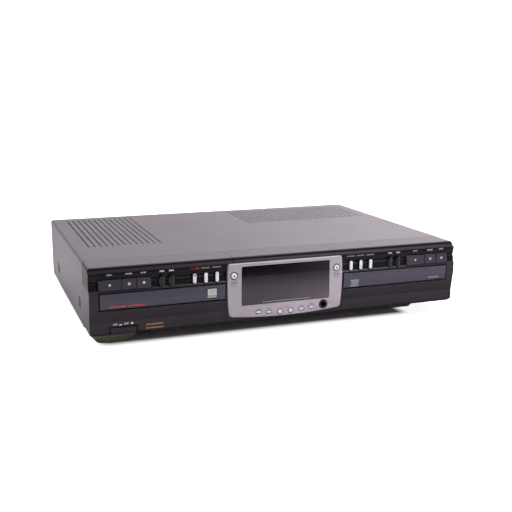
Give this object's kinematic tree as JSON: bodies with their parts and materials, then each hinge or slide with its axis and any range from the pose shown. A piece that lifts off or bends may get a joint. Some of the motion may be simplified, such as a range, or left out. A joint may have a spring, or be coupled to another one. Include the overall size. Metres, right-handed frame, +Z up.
{
  "type": "dual disc recorder",
  "caption": "Low hi-fi unit with two disc drawers, a central display bezel, transport keys over each drawer and a vented sheet-metal cover.",
  "frame": {"origin": "centre of the object's footprint box, on the surface that the feet stand on", "axes": "+X to the right seen from the front, +Y to the back, +Z up"},
  "size_m": [0.435, 0.3168, 0.088],
  "materials": {
    "cover_metal": "satin, fine texture",
    "chassis_steel": "zinc plated",
    "rear_metal": "satin",
    "fascia_plastic": "satin",
    "drawer_plastic": "satin",
    "key_plastic": "satin",
    "white_plastic": "semi-gloss",
    "bezel_silver": "metallic lacquer",
    "window_black": "polished, smoked",
    "foot_plastic": "matt",
    "screw_steel": "black zinc",
    "socket_plastic": "moulded",
    "board": "solder resist",
    "core_steel": "laminated, varnished",
    "loader_plastic": "moulded",
    "tray_plastic": "moulded, matt",
    "bridge_steel": "plated",
    "motor_steel": "plated",
    "gear_plastic": "natural acetal",
    "belt_rubber": "matt"
  },
  "bodies": {
    "case": {"base_chassis": "chassis_steel", "top_cover": "cover_metal", "rear_panel": "rear_metal", "fascia": "fascia_plastic", "centre_bezel": "bezel_silver", "display_window": "window_black", "front_board": "board", "feet": "foot_plastic", "screws_and_standoffs": "screw_steel", "headphone_socket": "socket_plastic", "mains_inlet": "socket_plastic", "rear_sockets": "socket_plastic", "main_board": "board", "power_supply_board": "board", "transformer": "core_steel", "loader_frames": "loader_plastic", "clamp_bridges": "bridge_steel", "loading_motors": "motor_steel", "drive_belts": "belt_rubber"},
    "power_button": {"power_button": "key_plastic"},
    "menu_key_1": {"menu_key_1": "white_plastic"},
    "menu_key_2": {"menu_key_2": "white_plastic"},
    "menu_key_3": {"menu_key_3": "white_plastic"},
    "menu_key_4": {"menu_key_4": "white_plastic"},
    "menu_key_5": {"menu_key_5": "white_plastic"},
    "menu_key_6": {"menu_key_6": "white_plastic"},
    "left_tray": {"left_drawer_front": "drawer_plastic", "left_disc_tray": "tray_plastic"},
    "left_drive_gear": {"left_drive_gear": "gear_plastic"},
    "left_motor_pulley": {"left_motor_pulley": "gear_plastic"},
    "left_pickup_frame": {"left_pickup_frame": "bridge_steel"},
    "left_turntable": {"left_turntable": "gear_plastic"},
    "left_laser_pickup": {"left_laser_pickup": "tray_plastic"},
    "left_clamp_puck": {"left_clamp_puck": "gear_plastic"},
    "left_eject_button": {"left_eject_button": "white_plastic"},
    "left_play_key": {"left_play_key": "key_plastic"},
    "left_pause_key": {"left_pause_key": "key_plastic"},
    "left_stop_key": {"left_stop_key": "key_plastic"},
    "left_skip_back_key": {"left_skip_back_key": "key_plastic"},
    "left_skip_forward_key": {"left_skip_forward_key": "key_plastic"},
    "left_option_1_key": {"left_option_1_key": "white_plastic"},
    "left_option_2_key": {"left_option_2_key": "white_plastic"},
    "left_option_3_key": {"left_option_3_key": "white_plastic"},
    "right_tray": {"right_drawer_front": "drawer_plastic", "right_disc_tray": "tray_plastic"},
    "right_drive_gear": {"right_drive_gear": "gear_plastic"},
    "right_motor_pulley": {"right_motor_pulley": "gear_plastic"},
    "right_pickup_frame": {"right_pickup_frame": "bridge_steel"},
    "right_turntable": {"right_turntable": "gear_plastic"},
    "right_laser_pickup": {"right_laser_pickup": "tray_plastic"},
    "right_clamp_puck": {"right_clamp_puck": "gear_plastic"},
    "right_eject_button": {"right_eject_button": "white_plastic"},
    "right_play_key": {"right_play_key": "key_plastic"},
    "right_pause_key": {"right_pause_key": "key_plastic"},
    "right_stop_key": {"right_stop_key": "key_plastic"},
    "right_skip_back_key": {"right_skip_back_key": "key_plastic"},
    "right_skip_forward_key": {"right_skip_forward_key": "key_plastic"},
    "right_option_1_key": {"right_option_1_key": "white_plastic"},
    "right_option_2_key": {"right_option_2_key": "white_plastic"},
    "right_option_3_key": {"right_option_3_key": "white_plastic"}
  },
  "joints": [
    {"name": "power_button_press", "type": "slide", "parent": "case", "child": "power_button", "axis": [0, 1, 0], "range_m": [0, 0.0025], "stiffness_N_per_m": 300, "springref_m": -0.002},
    {"name": "menu_key_1_press", "type": "slide", "parent": "case", "child": "menu_key_1", "axis": [0, 1, 0], "range_m": [0, 0.0008], "stiffness_N_per_m": 400, "springref_m": -0.001},
    {"name": "menu_key_2_press", "type": "slide", "parent": "case", "child": "menu_key_2", "axis": [0, 1, 0], "range_m": [0, 0.0008], "stiffness_N_per_m": 400, "springref_m": -0.001},
    {"name": "menu_key_3_press", "type": "slide", "parent": "case", "child": "menu_key_3", "axis": [0, 1, 0], "range_m": [0, 0.0008], "stiffness_N_per_m": 400, "springref_m": -0.001},
    {"name": "menu_key_4_press", "type": "slide", "parent": "case", "child": "menu_key_4", "axis": [0, 1, 0], "range_m": [0, 0.0008], "stiffness_N_per_m": 400, "springref_m": -0.001},
    {"name": "menu_key_5_press", "type": "slide", "parent": "case", "child": "menu_key_5", "axis": [0, 1, 0], "range_m": [0, 0.0008], "stiffness_N_per_m": 400, "springref_m": -0.001},
    {"name": "menu_key_6_press", "type": "slide", "parent": "case", "child": "menu_key_6", "axis": [0, 1, 0], "range_m": [0, 0.0008], "stiffness_N_per_m": 400, "springref_m": -0.001},
    {"name": "left_tray_slide", "type": "slide", "parent": "case", "child": "left_tray", "axis": [0, -1, 0], "range_m": [0, 0.152]},
    {"name": "left_drive_gear_spin", "type": "hinge", "parent": "case", "child": "left_drive_gear", "pos_m": [-0.18795, -0.1156, 0.05], "axis": [0, 0, 1], "range_deg": [-10, 990]},
    {"name": "left_motor_spin", "type": "hinge", "parent": "case", "child": "left_motor_pulley", "pos_m": [-0.14995, -0.1156, 0.032], "axis": [0, 0, 1], "range_deg": [-60, 5900]},
    {"name": "left_lift_hinge", "type": "hinge", "parent": "case", "child": "left_pickup_frame", "pos_m": [-0.13865, 0.0364, 0.042], "axis": [-1, 0, 0], "range_deg": [0, 4.27]},
    {"name": "left_pickup_slide", "type": "slide", "parent": "left_pickup_frame", "child": "left_laser_pickup", "axis": [0, 0.9972, 0.0745], "range_m": [0, 0.035]},
    {"name": "left_turntable_spin", "type": "hinge", "parent": "left_pickup_frame", "child": "left_turntable", "pos_m": [-0.13865, -0.06554, 0.03739], "axis": [0, -0.0745, 0.9972], "continuous": true},
    {"name": "left_puck_spin", "type": "hinge", "parent": "case", "child": "left_clamp_puck", "pos_m": [-0.13865, -0.0656, 0.0593], "axis": [0, 0, 1], "continuous": true},
    {"name": "left_eject_button_press", "type": "slide", "parent": "case", "child": "left_eject_button", "axis": [0, 1, 0], "range_m": [0, 0.0008], "stiffness_N_per_m": 400, "springref_m": -0.001},
    {"name": "left_play_key_press", "type": "slide", "parent": "case", "child": "left_play_key", "axis": [0, 1, 0], "range_m": [0, 0.0008], "stiffness_N_per_m": 400, "springref_m": -0.001},
    {"name": "left_pause_key_press", "type": "slide", "parent": "case", "child": "left_pause_key", "axis": [0, 1, 0], "range_m": [0, 0.0008], "stiffness_N_per_m": 400, "springref_m": -0.001},
    {"name": "left_stop_key_press", "type": "slide", "parent": "case", "child": "left_stop_key", "axis": [0, 1, 0], "range_m": [0, 0.0008], "stiffness_N_per_m": 400, "springref_m": -0.001},
    {"name": "left_skip_back_key_press", "type": "slide", "parent": "case", "child": "left_skip_back_key", "axis": [0, 1, 0], "range_m": [0, 0.0008], "stiffness_N_per_m": 400, "springref_m": -0.001},
    {"name": "left_skip_forward_key_press", "type": "slide", "parent": "case", "child": "left_skip_forward_key", "axis": [0, 1, 0], "range_m": [0, 0.0008], "stiffness_N_per_m": 400, "springref_m": -0.001},
    {"name": "left_option_1_key_press", "type": "slide", "parent": "case", "child": "left_option_1_key", "axis": [0, 1, 0], "range_m": [0, 0.0008], "stiffness_N_per_m": 400, "springref_m": -0.001},
    {"name": "left_option_2_key_press", "type": "slide", "parent": "case", "child": "left_option_2_key", "axis": [0, 1, 0], "range_m": [0, 0.0008], "stiffness_N_per_m": 400, "springref_m": -0.001},
    {"name": "left_option_3_key_press", "type": "slide", "parent": "case", "child": "left_option_3_key", "axis": [0, 1, 0], "range_m": [0, 0.0008], "stiffness_N_per_m": 400, "springref_m": -0.001},
    {"name": "right_tray_slide", "type": "slide", "parent": "case", "child": "right_tray", "axis": [0, -1, 0], "range_m": [0, 0.152]},
    {"name": "right_drive_gear_spin", "type": "hinge", "parent": "case", "child": "right_drive_gear", "pos_m": [0.08935, -0.1156, 0.05], "axis": [0, 0, 1], "range_deg": [-10, 990]},
    {"name": "right_motor_spin", "type": "hinge", "parent": "case", "child": "right_motor_pulley", "pos_m": [0.12735, -0.1156, 0.032], "axis": [0, 0, 1], "range_deg": [-60, 5900]},
    {"name": "right_lift_hinge", "type": "hinge", "parent": "case", "child": "right_pickup_frame", "pos_m": [0.13865, 0.0364, 0.042], "axis": [-1, 0, 0], "range_deg": [0, 4.27]},
    {"name": "right_pickup_slide", "type": "slide", "parent": "right_pickup_frame", "child": "right_laser_pickup", "axis": [0, 0.9972, 0.0745], "range_m": [0, 0.035]},
    {"name": "right_turntable_spin", "type": "hinge", "parent": "right_pickup_frame", "child": "right_turntable", "pos_m": [0.13865, -0.06554, 0.03739], "axis": [0, -0.0745, 0.9972], "continuous": true},
    {"name": "right_puck_spin", "type": "hinge", "parent": "case", "child": "right_clamp_puck", "pos_m": [0.13865, -0.0656, 0.0593], "axis": [0, 0, 1], "continuous": true},
    {"name": "right_eject_button_press", "type": "slide", "parent": "case", "child": "right_eject_button", "axis": [0, 1, 0], "range_m": [0, 0.0008], "stiffness_N_per_m": 400, "springref_m": -0.001},
    {"name": "right_play_key_press", "type": "slide", "parent": "case", "child": "right_play_key", "axis": [0, 1, 0], "range_m": [0, 0.0008], "stiffness_N_per_m": 400, "springref_m": -0.001},
    {"name": "right_pause_key_press", "type": "slide", "parent": "case", "child": "right_pause_key", "axis": [0, 1, 0], "range_m": [0, 0.0008], "stiffness_N_per_m": 400, "springref_m": -0.001},
    {"name": "right_stop_key_press", "type": "slide", "parent": "case", "child": "right_stop_key", "axis": [0, 1, 0], "range_m": [0, 0.0008], "stiffness_N_per_m": 400, "springref_m": -0.001},
    {"name": "right_skip_back_key_press", "type": "slide", "parent": "case", "child": "right_skip_back_key", "axis": [0, 1, 0], "range_m": [0, 0.0008], "stiffness_N_per_m": 400, "springref_m": -0.001},
    {"name": "right_skip_forward_key_press", "type": "slide", "parent": "case", "child": "right_skip_forward_key", "axis": [0, 1, 0], "range_m": [0, 0.0008], "stiffness_N_per_m": 400, "springref_m": -0.001},
    {"name": "right_option_1_key_press", "type": "slide", "parent": "case", "child": "right_option_1_key", "axis": [0, 1, 0], "range_m": [0, 0.0008], "stiffness_N_per_m": 400, "springref_m": -0.001},
    {"name": "right_option_2_key_press", "type": "slide", "parent": "case", "child": "right_option_2_key", "axis": [0, 1, 0], "range_m": [0, 0.0008], "stiffness_N_per_m": 400, "springref_m": -0.001},
    {"name": "right_option_3_key_press", "type": "slide", "parent": "case", "child": "right_option_3_key", "axis": [0, 1, 0], "range_m": [0, 0.0008], "stiffness_N_per_m": 400, "springref_m": -0.001}
  ],
  "couplings": [
    {"joint": "left_drive_gear_spin", "follows": "left_tray_slide", "rad_per_m": 111.11},
    {"joint": "left_motor_spin", "follows": "left_tray_slide", "rad_per_m": 666.67},
    {"joint": "right_drive_gear_spin", "follows": "right_tray_slide", "rad_per_m": 111.11},
    {"joint": "right_motor_spin", "follows": "right_tray_slide", "rad_per_m": 666.67}
  ]
}
